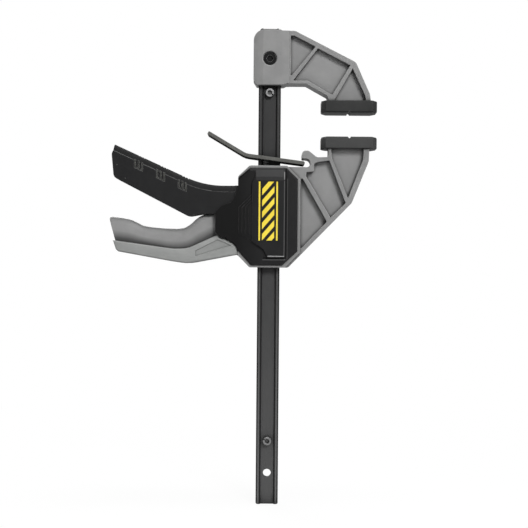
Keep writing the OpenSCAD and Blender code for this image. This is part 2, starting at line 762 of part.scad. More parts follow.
module trigger_grip() {
    strip_x = strip_end_share * grip_reach;
    top = strip_line(0);
    parting = strip_line(strip_h);
    color([0.1, 0.1, 0.1])
        union() {
            slab(rounded([
                top[0], top[1], [strip_x, base + root_top_share * housing_h, 0],
                [strip_x, parting[1][1], 0], parting[1], [parting[0][0], parting[0][1], 0]
            ]), -trigger_t / 2, trigger_t / 2);
            both_sides()
                for (c = comb_shares) {
                    left = c * grip_reach;
                    for (i = [0:comb_fingers - 1]) {
                        from = left + i * (comb_finger + comb_space);
                        comb_part(from, from + comb_finger, over, comb_drop);
                    }
                    comb_part(left, left + comb_w, comb_bar - comb_drop, comb_drop);
                }
        }
}

module trigger_pin() {
    color([0.6, 0.6, 0.6])
        rod(pivot_at, pivot_r, -half_t + fit, half_t - fit);
}

// The drive plates, which grip the bar when the trigger tips them
plate_left = -0.77 * bar_w;
plate_right = 0.74 * bar_w;
plate_half = arm_out - 2 * fit;
plate_corner = 2;

module drive_plate(top) {
    shape = [
        [plate_left, -plate_half, plate_corner], [plate_right, -plate_half, plate_corner],
        [plate_right, plate_half, plate_corner], [plate_left, plate_half, plate_corner]
    ];
    difference() {
        translate([0, 0, top - plate_t])
            linear_extrude(plate_t)
                polygon(rounded(shape));
        translate([0, 0, top - plate_t / 2])
            cube([slot_w, slot_t, 2 * plate_t], center = true);
    }
}

module drive_plate_upper() {
    color([0.5, 0.5, 0.52])
        drive_plate(plates_top);
}

module drive_plate_lower() {
    color([0.45, 0.45, 0.47])
        drive_plate(plates_top - plate_t);
}

// A coil spring as one unbroken tube round the Z axis, whose end turns lie close together
end_gap = 0.45;
function climb(t, turns, low, high, wire) =
    let (close = 2 * wire + end_gap, free = (high - low - 2 * wire - 2 * close) / (turns - 2))
    low + wire + (t < 1 ? t * close : t > turns - 1 ? close + (turns - 2) * free + (t - turns + 1) * close
                                                    : close + (t - 1) * free);
function coil_line(r, wire, turns, low, high, rings) = [
    for (i = [0:turns * rings])
        let (a = 360 * i / rings)
        [r * cos(a), r * sin(a), climb(i / rings, turns, low, high, wire)]
];
function coil_points(line, wire, sides) = [
    for (p = line, k = [0:sides - 1])
        let (b = 360 * k / sides, out = 1 + wire * cos(b) / norm([p[0], p[1]]))
        [out * p[0], out * p[1], p[2] + wire * sin(b)]
];
function least_gap(line, wire, rings) =
    min([for (i = [0:len(line) - rings - 1], j = [i + rings:len(line) - 1]) norm(line[j] - line[i])]) - 2 * wire;
module coil(r, wire, turns, low, high, rings, sides) {
    line = coil_line(r, wire, turns, low, high, rings);
    echo("least gap between turns", least_gap(line, wire, rings));
    polyhedron(points = coil_points(line, wire, sides), faces = tube_faces(turns * rings, sides));
}

drive_spring_r = norm([bar_w, bar_t]) / 2 + drive_wire_r + gap;
drive_turns = 6;
drive_rings = 20;
brake_turns = 7;
brake_rings = 14;
wire_sides = 6;

module drive_spring() {
    color([0.7, 0.7, 0.7])
        coil(drive_spring_r, drive_wire_r, drive_turns, cavity_floor + slide, plates_top - 2 * plate_t - slide,
             drive_rings, wire_sides);
}

// The brake lever: a bent strip with a slot for the bar, rocking on its rounded end
tilt_dir = [-cos(lever_tilt), sin(lever_tilt)];
tab_dir = [-cos(tab_tilt), sin(tab_tilt)];
bend_share = 2.6;
bend_at = rock_at + tilt_dir * bend_share * bar_w;
tab_end = bend_at + tab_dir * tab_l;

module brake_lever() {
    up = [sin(lever_tilt), cos(lever_tilt)] * lever_t / 2;
    tab_up = [sin(tab_tilt), cos(tab_tilt)] * lever_t / 2;
    bend_up = toward(up + tab_up) * lever_t / 2 / cos((tab_tilt - lever_tilt) / 2);
    bend_r = 4 * lever_t;
    at_bar = rock_at + tilt_dir * rock_at[0] / cos(lever_tilt);
    hole_w = bar_w / cos(lever_tilt) + lever_t * sin(lever_tilt) + 2 * gap;
    strip = [
        [rock_at[0] - up[0], rock_at[1] - up[1], 0], [rock_at[0] + up[0], rock_at[1] + up[1], 0],
        [bend_at[0] + bend_up[0], bend_at[1] + bend_up[1], bend_r],
        [tab_end[0] + tab_up[0], tab_end[1] + tab_up[1], lever_t / 4],
        [tab_end[0] - tab_up[0], tab_end[1] - tab_up[1], lever_t / 4],
        [bend_at[0] - bend_up[0], bend_at[1] - bend_up[1], bend_r + lever_t]
    ];
    color([0.25, 0.25, 0.24])
        difference() {
            union() {
                slab(rounded(strip), -lever_w / 2, lever_w / 2);
                rod(rock_at, lever_t / 2, -lever_w / 2, lever_w / 2);
            }
            translate([at_bar[0], 0, at_bar[1]])
                rotate([0, lever_tilt, 0])
                    cube([hole_w, bar_t + 2 * gap, 4 * lever_t], center = true);
        }
}

module brake_spring(side) {
    reach = rock_at[0] - brake_spring_at[0];
    top = rock_at[1] + reach * tan(lever_tilt) - lever_t / 2 / cos(lever_tilt)
        - (brake_spring_r + brake_wire_r) * tan(lever_tilt) - slide;
    translate([brake_spring_at[0], side * brake_spring_at[1], 0])
        coil(brake_spring_r, brake_wire_r, brake_turns, brake_spring_low + slide, top, brake_rings, wire_sides);
}

module brake_spring_front() {
    color([0.1, 0.1, 0.1])
        brake_spring(-1);
}

module brake_spring_rear() {
    color([0.1, 0.1, 0.1])
        brake_spring(1);
}

bar();
end_stop_pin();
head_stop_pin();
fixed_jaw();
fixed_jaw_pad();
jaw_screw();
jaw_nut();
jaw_body();
handle();
moving_jaw_pad();
front_cover();
rear_cover();
cover_screws();
trigger();
trigger_grip();
trigger_pin();
drive_plate_upper();
drive_plate_lower();
drive_spring();
brake_lever();
brake_spring_front();
brake_spring_rear();
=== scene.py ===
import math

import bmesh
import bpy
from mathutils import Matrix, Vector


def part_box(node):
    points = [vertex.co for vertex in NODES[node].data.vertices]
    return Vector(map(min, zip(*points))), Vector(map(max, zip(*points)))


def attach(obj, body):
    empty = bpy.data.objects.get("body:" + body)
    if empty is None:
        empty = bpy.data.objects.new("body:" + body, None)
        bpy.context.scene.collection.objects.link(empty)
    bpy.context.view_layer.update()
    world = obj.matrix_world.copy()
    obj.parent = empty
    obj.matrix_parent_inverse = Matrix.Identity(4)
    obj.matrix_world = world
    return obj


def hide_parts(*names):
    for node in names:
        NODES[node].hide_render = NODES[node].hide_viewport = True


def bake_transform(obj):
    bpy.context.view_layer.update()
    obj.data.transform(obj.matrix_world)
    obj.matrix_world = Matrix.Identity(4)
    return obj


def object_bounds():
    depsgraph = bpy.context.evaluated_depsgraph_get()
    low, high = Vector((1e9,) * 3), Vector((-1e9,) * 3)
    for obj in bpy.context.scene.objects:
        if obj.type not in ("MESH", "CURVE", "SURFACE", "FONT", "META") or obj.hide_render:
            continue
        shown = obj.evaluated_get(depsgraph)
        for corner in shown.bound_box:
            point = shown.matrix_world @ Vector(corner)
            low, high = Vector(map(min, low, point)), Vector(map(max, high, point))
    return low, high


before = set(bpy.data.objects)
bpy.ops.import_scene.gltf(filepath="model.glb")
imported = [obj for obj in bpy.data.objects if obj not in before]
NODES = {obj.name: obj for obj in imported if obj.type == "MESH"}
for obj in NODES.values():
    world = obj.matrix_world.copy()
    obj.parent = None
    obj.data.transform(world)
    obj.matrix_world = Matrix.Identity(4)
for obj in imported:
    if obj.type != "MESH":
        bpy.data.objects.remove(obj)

# Quick release bar clamp: the looks of its nodes, its soft pieces, its print and the stage round it
CAD_LO, CAD_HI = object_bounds()
MM = 0.001
# How far a cutter runs past what it cuts, and how far one form runs into another where they join
OVERRUN = 2 * MM
JOIN = 0.05 * MM

# Camera
# The photograph looks square on to the front from about a metre away, and leans by less than half a degree
# Its width in pixels, a pixel's size at the front of the jaws, and how far the camera is from that front
PHOTO_WIDTH = 528
PIXEL = 0.82 * MM
FRONT = -0.011
DISTANCE = 1.050
CAMERA_X, CAMERA_Z = -0.00367, 0.19816
LEAN = math.radians(-0.456)
SENSOR = 36
CLIP_NEAR, CLIP_FAR = 0.05, 20


def make_camera():
    data = bpy.data.cameras.new("camera")
    data.sensor_fit = "HORIZONTAL"
    data.sensor_width = SENSOR
    data.lens = SENSOR * DISTANCE / (PHOTO_WIDTH * PIXEL)
    data.clip_start, data.clip_end = CLIP_NEAR, CLIP_FAR
    camera = bpy.data.objects.new("camera", data)
    bpy.context.scene.collection.objects.link(camera)
    camera.location = (CAMERA_X, FRONT - DISTANCE, CAMERA_Z)
    camera.rotation_mode = "QUATERNION"
    ahead = Vector((0, 1, 0)).to_track_quat("-Z", "Y")
    lean = Matrix.Rotation(LEAN, 4, Vector((0, 1, 0))).to_quaternion()
    camera.rotation_quaternion = lean @ ahead
    bpy.context.scene.camera = camera


make_camera()

# Shader nodes
# Half the width of a band's soft edges
BAND_SOFT = 0.1 * MM


class Graph:
    """The node tree of a material or a world, filled by short calls."""

    def __init__(self, owner):
        owner.use_nodes = True
        self.nodes, self.links = owner.node_tree.nodes, owner.node_tree.links
        self.nodes.clear()

    def plug(self, socket, value):
        """Give a socket a number, a colour, a vector or another node's output."""
        if isinstance(value, bpy.types.NodeSocket):
            self.links.new(value, socket)
        elif socket.type == "RGBA":
            socket.default_value = (*value, 1)
        else:
            socket.default_value = value

    def add(self, kind, **inputs):
        """A new node. An underscore in an input's name stands for a space."""
        node = self.nodes.new(kind)
        for name, value in inputs.items():
            self.plug(node.inputs[name.replace("_", " ")], value)
        return node

    def maths(self, operation, *values, kind="ShaderNodeMath"):
        node = self.add(kind)
        node.operation = operation
        for socket, value in zip(node.inputs, values):
            self.plug(socket, value)
        return node.outputs["Value"]

    def mix(self, factor, a, b):
        """Colour a where the factor is 0, and colour b where it is 1."""
        node = self.add("ShaderNodeMix")
        node.data_type = "RGBA"
        for socket, value in ((0, factor), (6, a), (7, b)):
            self.plug(node.inputs[socket], value)
        return node.outputs[2]

    def mix_shaders(self, factor, a, b):
        node = self.add("ShaderNodeMixShader", Fac=factor)
        self.plug(node.inputs[1], a)
        self.plug(node.inputs[2], b)
        return node.outputs["Shader"]

    def ramp(self, source, low, high, start=0.0, end=1.0):
        """The span of the source from low to high, turned into start to end and held beyond them."""
        node = self.add("ShaderNodeMapRange", Value=source, From_Min=low, From_Max=high,
                        To_Min=start, To_Max=end)
        node.clamp = True
        return node.outputs["Result"]

    def noise(self, coord, scale, detail, rough):
        node = self.add("ShaderNodeTexNoise", Vector=coord, Scale=scale, Detail=detail, Roughness=rough)
        return node.outputs["Fac"]

    def band(self, value, low, high, strength=1.0):
        """The strength between two heights, widths or depths, and nothing outside them."""
        up = self.ramp(value, low - BAND_SOFT, low + BAND_SOFT)
        down = self.ramp(value, high + BAND_SOFT, high - BAND_SOFT, 0.0, strength)
        return self.maths("MULTIPLY", up, down)


# What all surfaces share
# Detail and roughness of the fine and of the broad noise
FINE_DETAIL, BROAD_DETAIL = (2.0, 0.5), (4.0, 0.6)
# Spans of the noises in which the colour turns from base to shade, and how much the fine one turns it
BROAD_SPAN, FINE_SPAN, FINE_AMOUNT = (0.35, 0.65), (0.3, 0.7), 0.25
# Width on either side of the bar's middle that the places of its streaks are shares of
STREAK_WIDTH = 10 * MM
# Depths between which the faces of the jaws' inner web lie, and the tone of the light painted on them
WEB_LOW, WEB_HIGH, WEB_TONE = 2.8 * MM, 3.2 * MM, 0.6
# Heights, as shares of the handle's web, between which its foot gets dark with painted shade
FOOT_SHARES = (0.42, 0.1)
# An edge gets a painted highlight where its softened normal turns from the true one: cosines of none and of
# the full one
HIGHLIGHT_COSINES = (0.97, 0.80)
# The broad noise makes the painted edge highlights patchy: its span, and the highlight at either end
PATCH_SPAN, PATCH_HIGHLIGHT = (0.42, 0.6), (0.35, 1.0)
# Tone of the painted highlights in marks
MARK_TONE = 0.42
# Openness at which the painted shade in an inner corner is darkest
CREVICE_DEEPEST = 0.35
# Z of the normal at which the painted shade on an underside starts, and at which it is darkest
UNDER_SPAN = (-0.15, -0.75)
# Shares of the shade tone that the painted shade on the handle's foot, inner corners and undersides goes
# down to
FOOT_DARK_SHARE, CREVICE_DARK_SHARE, UNDER_DARK_SHARE = 0.1, 0.15, 0.2
BEVEL_SAMPLES, CREVICE_SAMPLES = 6, 8
# Depth of the grain, and how far it spreads the roughness to either side
GRAIN_DEPTH, ROUGH_SPREAD = 0.3 * MM, 0.06


def grey(tone):
    return tone, tone, tone


def darker(colour, share):
    return tuple(share * c for c in colour)


def streaked(graph, across, streaks, dark, colour):
    """The colour in streaks of painted light and shade across the bar: each streak's place and its share of
    the light tone.
    """
    tones = graph.add("ShaderNodeValToRGB")
    steps = tones.color_ramp.elements
    while len(steps) < len(streaks):
        steps.new(0.5)
    for step, (at, tone) in zip(steps, streaks):
        step.position, step.color = at, (*grey(tone), 1)
    side = graph.maths("ABSOLUTE", across)
    graph.plug(tones.inputs["Fac"], graph.ramp(side, 0.0, STREAK_WIDTH))
    return graph.mix(tones.outputs["Color"], dark, colour)


def surface(name, base, shade, rough, metallic=0.0, specular=0.5, mottle=70, grain=2600,
            grain_height=0.03, edge=0.4 * MM, edge_light=None, brushed=None, crevice=0.0,
            crevice_reach=3 * MM, crevice_from=0.95, under=0.0, streaks=(), streak_dark=0.3, marks=(),
            fades=(), web_light=0.0, foot_dark=0.0):
    """A moulded or finished surface: mottled, grained, soft-edged, with painted edge highlights and painted
    inner-corner shade.

    mottle and grain are the scales of the broad and of the fine noise, and brushed stretches the fine one.
    fades turn to another tone along an axis, streaks paint light and shade across the bar as shares of the
    light tone, and marks are rectangles of painted highlight in X and Z. web_light paints light on the jaws'
    inner web, foot_dark paints shade on the foot of the handle's web, and under paints shade on what faces
    down. crevice paints shade on what has other faces within crevice_reach, where its openness is less than
    crevice_from.
    """
    look = bpy.data.materials.new(name)
    graph = Graph(look)
    coord = graph.add("ShaderNodeTexCoord").outputs["Object"]
    along = coord
    if brushed:
        along = graph.add("ShaderNodeMapping", Vector=coord, Scale=brushed).outputs["Vector"]
    fine = graph.noise(along, grain, *FINE_DETAIL)
    broad = graph.noise(coord, mottle, *BROAD_DETAIL)
    colour = graph.mix(graph.ramp(broad, *BROAD_SPAN), base, shade)
    colour = graph.mix(graph.ramp(fine, *FINE_SPAN, 0.0, FINE_AMOUNT), colour, shade)
    place = graph.add("ShaderNodeSeparateXYZ", Vector=coord).outputs
    for axis, start, end, amount, tone in fades:
        part = graph.ramp(place[axis], start * MM, end * MM, 0.0, amount)
        colour = graph.mix(part, colour, grey(tone))
    # Painted light and shade in streaks across the bar
    if streaks:
        colour = streaked(graph, place["X"], streaks, darker(shade, streak_dark), colour)
    # Painted light on the faces of the jaws' inner web
    if web_light:
        depth = graph.maths("ABSOLUTE", place["Y"])
        colour = graph.mix(graph.band(depth, WEB_LOW, WEB_HIGH, web_light), colour, grey(WEB_TONE))
    # Painted shade on the foot of the handle's web
    if foot_dark:
        height = graph.add("ShaderNodeAttribute")
        height.attribute_name = "height_share"
        foot = graph.ramp(height.outputs["Fac"], *FOOT_SHARES, 0.0, foot_dark)
        colour = graph.mix(foot, colour, darker(shade, FOOT_DARK_SHARE))
    bevel = graph.add("ShaderNodeBevel", Radius=edge)
    bevel.samples = BEVEL_SAMPLES
    softened = bevel.outputs["Normal"]
    # Painted highlights on the edges, made patchy by the broad noise
    if edge_light:
        true_normal = graph.add("ShaderNodeNewGeometry").outputs["Normal"]
        turn = graph.maths("DOT_PRODUCT", softened, true_normal, kind="ShaderNodeVectorMath")
        patch = graph.ramp(broad, *PATCH_SPAN, *PATCH_HIGHLIGHT)
        edge_highlight = graph.maths("MULTIPLY", graph.ramp(turn, *HIGHLIGHT_COSINES), patch)
        colour = graph.mix(edge_highlight, colour, edge_light)
    # Painted highlights in rectangles
    for left, right, low, high, strength in marks:
        wide = graph.band(place["X"], left * MM, right * MM, strength)
        tall = graph.band(place["Z"], low * MM, high * MM)
        colour = graph.mix(graph.maths("MULTIPLY", wide, tall), colour, grey(MARK_TONE))
    # Painted shade in inner corners
    if crevice:
        near = graph.add("ShaderNodeAmbientOcclusion", Distance=crevice_reach)
        near.samples = CREVICE_SAMPLES
        deep = graph.ramp(near.outputs["AO"], CREVICE_DEEPEST, crevice_from, crevice, 0.0)
        colour = graph.mix(deep, colour, darker(shade, CREVICE_DARK_SHARE))
    # Painted shade on what faces down
    if under:
        tilt = graph.add("ShaderNodeSeparateXYZ", Vector=softened).outputs["Z"]
        below = graph.ramp(tilt, *UNDER_SPAN, 0.0, under)
        colour = graph.mix(below, colour, darker(shade, UNDER_DARK_SHARE))
    bump = graph.add("ShaderNodeBump", Strength=grain_height, Distance=GRAIN_DEPTH, Height=fine,
                     Normal=softened)
    roughness = graph.ramp(fine, *FINE_SPAN, rough - ROUGH_SPREAD, rough + ROUGH_SPREAD)
    shader = graph.add("ShaderNodeBsdfPrincipled", Metallic=metallic, Specular_IOR_Level=specular,
                       Base_Color=colour, Roughness=roughness, Normal=bump.outputs["Normal"])
    graph.add("ShaderNodeOutputMaterial", Surface=shader.outputs["BSDF"])
    return look


# Materials
# A fade is its axis, its start and end in millimetres, its amount and its tone
# Painted highlights on the edges, painted shade in inner corners and on undersides, painted light on the
# inner web
grey_nylon = surface("grey_nylon", (0.246, 0.246, 0.244), (0.214, 0.214, 0.214), 0.55, specular=0.2,
                     grain_height=0.12, edge=1.0 * MM, edge_light=(0.50, 0.50, 0.495), crevice=0.95,
                     under=0.8, web_light=0.13)
# Painted highlights on the edges, painted shade in inner corners and on undersides
handle_nylon = surface("handle_nylon", (0.274, 0.280, 0.274), (0.243, 0.249, 0.243), 0.5, specular=0.35,
                       grain_height=0.12, edge=0.8 * MM, edge_light=(0.42, 0.425, 0.415), crevice=0.55,
                       under=0.7)
# Painted highlights on the edges, painted shade in inner corners and on the web's foot
web_nylon = surface("web_nylon", (0.280, 0.280, 0.278), (0.244, 0.244, 0.243), 0.5, specular=0.35,
                    grain_height=0.12, edge=0.6 * MM, edge_light=(0.34, 0.34, 0.335), crevice=0.7,
                    crevice_reach=2 * MM, foot_dark=0.75)
# Painted highlights on the edges, painted shade in inner corners and on undersides
black_nylon = surface("black_nylon", (0.0115, 0.0115, 0.012), (0.0085, 0.0085, 0.009), 0.42, specular=0.2,
                      grain_height=0.1, edge=0.7 * MM, edge_light=(0.14, 0.14, 0.14), crevice=0.6,
                      crevice_reach=1.5 * MM, under=0.7)
# Painted highlights on the cover's edges and its upper slope: X and Z from and to in millimetres, and
# strength
COVER_MARKS = ((12.15, 12.95, 204.0, 266.0, 0.14), (-0.9, 12.5, 203.95, 204.85, 0.75),
               (12.2, 13.0, 267.0, 273.5, 0.45), (14.7, 15.4, 202.0, 268.0, 0.09),
               (-5.0, 13.5, 201.2, 202.0, 0.12), (-10.5, 12.0, 266.4, 275.3, 0.034))
# Painted shade makes the cover's lobe darker than its plateau
COVER_FADES = (("X", -6, -26, 0.9, 0.0015),)
# Painted highlights on the edges, painted shade in inner corners and on undersides
cover_nylon = surface("cover_nylon", (0.0130, 0.0130, 0.0135), (0.0095, 0.0095, 0.0100), 0.42,
                      specular=0.15, grain_height=0.1, edge=0.7 * MM, edge_light=(0.085, 0.085, 0.085),
                      crevice=0.9, crevice_reach=1.8 * MM, under=0.7, marks=COVER_MARKS, fades=COVER_FADES)
# Painted highlights on the edges
soft_grip = surface("soft_grip", (0.0145, 0.0145, 0.015), (0.0105, 0.0105, 0.0105), 0.66, specular=0.2,
                    grain=1800, grain_height=0.25, edge=0.5 * MM, edge_light=(0.10, 0.10, 0.10))
# A light tone that is a painted highlight on the flash line and the pips
flash_highlight = surface("flash_highlight", (0.115, 0.115, 0.11), (0.07, 0.07, 0.07), 0.6, specular=0.2, mottle=300)
# Painted highlights on the edges
comb_grip = surface("comb_grip", (0.015, 0.015, 0.015), (0.06, 0.06, 0.055), 0.6, specular=0.2, mottle=700,
                    edge_light=(0.34, 0.34, 0.33))
# The lower pad is lighter than the upper one
PAD_FADES = (("Z", 318, 308, 0.30, 0.105),)
# Painted highlights on the edges and painted shade on undersides
pad_rubber = surface("pad_rubber", (0.0370, 0.0375, 0.0370), (0.028, 0.0285, 0.0280), 0.60, specular=0.1,
                     grain=1700, grain_height=0.22, edge=0.6 * MM, edge_light=(0.22, 0.22, 0.215),
                     under=0.9, fades=PAD_FADES)
# Painted light and shade across the bar: a light web, shaded slopes, a highlight along each flange, shaded
# outer edges
BAR_STREAKS = ((0.47, 0.63), (0.51, 0.82), (0.56, 0.0), (0.64, 0.08),
               (0.70, 1.0), (0.77, 0.95), (0.83, 0.08), (0.90, 0.08))
# The bar gets lighter towards its foot with painted light from the floor, and its cut end is dark
BAR_FADES = (("Z", 300, 20, 0.168, 0.5), ("Z", 389.9, 390.5, 0.97, 0.002))
# Painted shade in inner corners, wide enough to paint the brake lever's shadow on the bar
bar_steel = surface("bar_steel", (0.047, 0.047, 0.0475), (0.037, 0.037, 0.0375), 0.42, metallic=0.15,
                    specular=0.24, grain=1500, grain_height=0.10, edge=0.5 * MM, brushed=(1, 1, 0.06),
                    streaks=BAR_STREAKS, streak_dark=0.16, crevice=0.9, crevice_reach=14 * MM,
                    crevice_from=0.75, fades=BAR_FADES)
plain_steel = surface("plain_steel", (0.40, 0.40, 0.41), (0.28, 0.28, 0.29), 0.36, metallic=1.0, grain=1500,
                      grain_height=0.08, edge=0.3 * MM)
# Painted shade in inner corners
pin_steel = surface("pin_steel", (0.30, 0.30, 0.305), (0.19, 0.19, 0.19), 0.4, metallic=0.8, grain=1500,
                    grain_height=0.08, crevice=0.9)
# Painted highlights on the edges and painted shade in inner corners
black_steel = surface("black_steel", (0.0060, 0.0060, 0.0065), (0.0040, 0.0040, 0.0040), 0.45, metallic=0.1,
                      specular=0.12, edge=0.6 * MM, edge_light=(0.45, 0.45, 0.45), crevice=0.7,
                      crevice_reach=2 * MM)
# Painted highlights on the edges and painted shade on the underside
lever_steel = surface("lever_steel", (0.135, 0.135, 0.126), (0.098, 0.098, 0.092), 0.45, specular=0.0,
                      grain=1400, grain_height=0.10, edge=0.8 * MM, edge_light=(0.22, 0.22, 0.21),
                      brushed=(0.08, 1, 1), under=0.95)
yellow_print = surface("yellow_print", (0.86, 0.69, 0.062), (0.80, 0.61, 0.045), 0.45, specular=0.3,
                       mottle=45, grain_height=0.05, edge=0.1 * MM)

LOOKS = {
    "bar": bar_steel, "end_stop_pin": pin_steel, "head_stop_pin": pin_steel, "fixed_jaw": grey_nylon,
    "fixed_jaw_pad": pad_rubber, "jaw_screw": black_steel, "jaw_nut": plain_steel, "jaw_body": grey_nylon,
    "handle": handle_nylon, "moving_jaw_pad": pad_rubber, "front_cover": cover_nylon,
    "rear_cover": cover_nylon, "cover_screws": black_steel, "trigger": black_nylon,
    "trigger_grip": soft_grip, "trigger_pin": plain_steel, "drive_plate_upper": plain_steel,
    "drive_plate_lower": plain_steel, "drive_spring": plain_steel, "brake_lever": lever_steel,
    "brake_spring_front": black_steel, "brake_spring_rear": black_steel,
}


def dress(node, look):
    if node.material_slots:
        for slot in node.material_slots:
            slot.material = look
    else:
        node.data.materials.append(look)


for name, look in LOOKS.items():
    dress(NODES[name], look)

# Mesh helpers
# Angle in degrees from which an edge stays sharp
SHARP = 35


def shade_smooth(mesh, sharp=SHARP):
    for poly in mesh.polygons:
        poly.use_smooth = True
    mesh.set_sharp_from_angle(angle=math.radians(sharp))


def finish_piece(name, bm, look, sharp=SHARP):
    bmesh.ops.recalc_face_normals(bm, faces=bm.faces)
    mesh = bpy.data.meshes.new(name)
    bm.to_mesh(mesh)
    bm.free()
    shade_smooth(mesh, sharp)
    mesh.materials.append(look)
    piece = bpy.data.objects.new(name, mesh)
    bpy.context.scene.collection.objects.link(piece)
    return piece


def loft(bm, rings, material_index=0):
    """Skin closed rings of equal length, and cap both ends."""
    rows = [[bm.verts.new(p) for p in ring] for ring in rings]
    count = len(rows[0])
    faces = [bm.faces.new((a[k], a[(k + 1) % count], b[(k + 1) % count], b[k]))
             for a, b in zip(rows, rows[1:]) for k in range(count)]
    faces += [bm.faces.new(rows[0]), bm.faces.new(rows[-1])]
    for face in faces:
        face.material_index = material_index
    return rows


def prism(bm, outline, near, far, material_index=0):
    """An outline in X and Z, made solid from the depth near to the depth far."""
    loft(bm, [[Vector((x, y, z)) for x, z in outline] for y in (near, far)], material_index)


def prism_piece(name, outline, near, far, look):
    bm = bmesh.new()
    prism(bm, outline, near, far)
    return finish_piece(name, bm, look)


def flipped(points):
    """The points mirrored from front to back."""
    return [Vector((p.x, -p.y, p.z)) for p in points]


def section_ring(low, top, half_depth, shares):
    """A closed ring round a form between its foot and its top, which are points in X and Z."""
    half = []
    for y_share, z_share in shares:
        p = low.lerp(top, z_share)
        half.append(Vector((p.x, y_share * half_depth, p.y)))
    return half + flipped(reversed(half))


def rounded(corners, step=8):
    """Outline points of corners (x, z, r), each rounded by its radius, with a point every few degrees."""
    out = []
    for i, (x, z, r) in enumerate(corners):
        at = Vector((x, z))
        if not r:
            out.append(at)
            continue
        back = (Vector(corners[i - 1][:2]) - at).normalized()
        ahead = (Vector(corners[(i + 1) % len(corners)][:2]) - at).normalized()
        half = math.acos(max(-1, min(1, back.dot(ahead)))) / 2
        centre = at + (back + ahead).normalized() * r / math.sin(half)
        first = at + back * r / math.tan(half) - centre
        last = at + ahead * r / math.tan(half) - centre
        start = math.atan2(first.y, first.x)
        turn = (math.atan2(last.y, last.x) - start + 3 * math.pi) % (2 * math.pi) - math.pi
        count = max(2, math.ceil(abs(math.degrees(turn)) / step))
        for k in range(count + 1):
            angle = start + turn * k / count
            out.append(centre + r * Vector((math.cos(angle), math.sin(angle))))
    return out


def cut(piece, cutters):
    """Take the cutters away from a piece, and delete them."""
    for tool in cutters:
        mod = piece.modifiers.new("cut", "BOOLEAN")
        mod.operation = "DIFFERENCE"
        mod.solver = "EXACT"
        mod.object = tool
    bpy.context.view_layer.update()
    depsgraph = bpy.context.evaluated_depsgraph_get()
    mesh = bpy.data.meshes.new_from_object(piece.evaluated_get(depsgraph))
    piece.modifiers.clear()
    old = piece.data
    piece.data = mesh
    bpy.data.meshes.remove(old)
    for tool in cutters:
        bpy.data.objects.remove(tool)
    shade_smooth(mesh)


def stand_for(piece, node, body):
    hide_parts(node)
    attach(piece, body)


# Sizes shared with part.scad: the housing, the grips, the front cover's plateau and the trigger's half depth
BASE = 195.3 * MM
HOUSING_H = 83.5 * MM
GRIP_REACH = 131.6 * MM
HALF_W = 25.4 * MM
HALF_T = 13 * MM
PLATEAU = 5.0 * MM
TRIGGER_HALF = 12.3 * MM


def grip_point(x, z):
    """A place, from its share of the grips' reach and its share of the housing's height."""
    return x * GRIP_REACH, BASE + z * HOUSING_H


# Pads
# Width and depth of the chamfer at the pads' upright corners, and the rounding of its two edges
PAD_CHAMFER, PAD_R = (3.4 * MM, 7 * MM), 0.5 * MM
# Height above the seat and inset of the pad's side, in millimetres
PAD_PROFILE = ((0, 0.7), (0.1, 0.36), (0.35, 0.1), (0.75, 0), (3.5, 0), (5.5, 0), (8.1, 0), (8.8, 0.1),
               (9.35, 0.36), (9.68, 0.8), (9.8, 1.4))
# Notch across the pad's face: X from its middle and height over the face, in millimetres
PAD_NOTCH = ((-1.45, 0.2), (1.45, 0.2), (0.35, -1.4), (-0.35, -1.4))
# Both ends of the jaw's foot, as shares of the jaw's reach
JAW_FOOT_SHARES = (0.6, 0.97)
# Pocket for the jaw's foot: play at its ends, depth and half its width
POCKET_PLAY, POCKET_DEEP, POCKET_HALF = 0.15 * MM, 5 * MM, 10.05 * MM
# Piece, node and body of each pad, the way that it faces, and the reach of its jaw
PADS = (("fixed_pad_soft", "fixed_jaw_pad", "frame", -1, 83 * MM),
        ("moving_pad_soft", "moving_jaw_pad", "carriage", 1, 82 * MM))


def pad_ring(low, high, inset, z):
    """The outline of the pad's box at a height, with chamfered corners and moved in by the inset."""
    middle = (low[0] + high[0]) / 2
    half_x, half_y = (high[0] - low[0]) / 2 - inset, (high[1] - low[1]) / 2 - inset
    across, deep = PAD_CHAMFER
    corners = []
    for sx, sy in ((-1, -1), (1, -1), (1, 1), (-1, 1)):
        ends = [(sx * half_x, sy * (half_y - deep), PAD_R), (sx * (half_x - across), sy * half_y, PAD_R)]
        corners += ends if sx * sy > 0 else ends[::-1]
    return [Vector((middle + p.x, p.y, z)) for p in rounded(corners, step=12)]


def make_pad(name, node, body, way, reach):
    low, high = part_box(node)
    seat, face = (low[2], high[2]) if way > 0 else (high[2], low[2])
    bm = bmesh.new()
    loft(bm, [pad_ring(low, high, inset * MM, seat + way * h * MM) for h, inset in PAD_PROFILE])
    pad = finish_piece(name, bm, pad_rubber)
    middle, deep = (low[0] + high[0]) / 2, high[1] - low[1]
    wedge = [(middle + x * MM, face + way * z * MM) for x, z in PAD_NOTCH]
    notch = prism_piece("notch", wedge, -deep, deep, pad_rubber)
    left, right = (share * reach for share in JAW_FOOT_SHARES)
    left, right = left - POCKET_PLAY, right + POCKET_PLAY
    mouth, floor = seat - way * OVERRUN, seat + way * POCKET_DEEP
    hollow = [(left, mouth), (right, mouth), (right, floor), (left, floor)]
    pocket = prism_piece("pocket", hollow, -POCKET_HALF, POCKET_HALF, pad_rubber)
    cut(pad, [notch, pocket])
    stand_for(pad, node, body)


for pad_row in PADS:
    make_pad(*pad_row)

# Soft strip along the trigger
# Its thickness, and the corners of its top: shares of reach, of height, and of height for the radius
STRIP = 5 * MM
STRIP_SHARES = ((-0.963, 1.198, 0.0), (-0.4046, 0.8, 0.9))
STRIP_END_SHARE, STRIP_ROOT_SHARE = -0.21, 0.802
# How far a line under its top moves to the left, as a share of its depth
STRIP_SHIFT_SHARE = 0.25
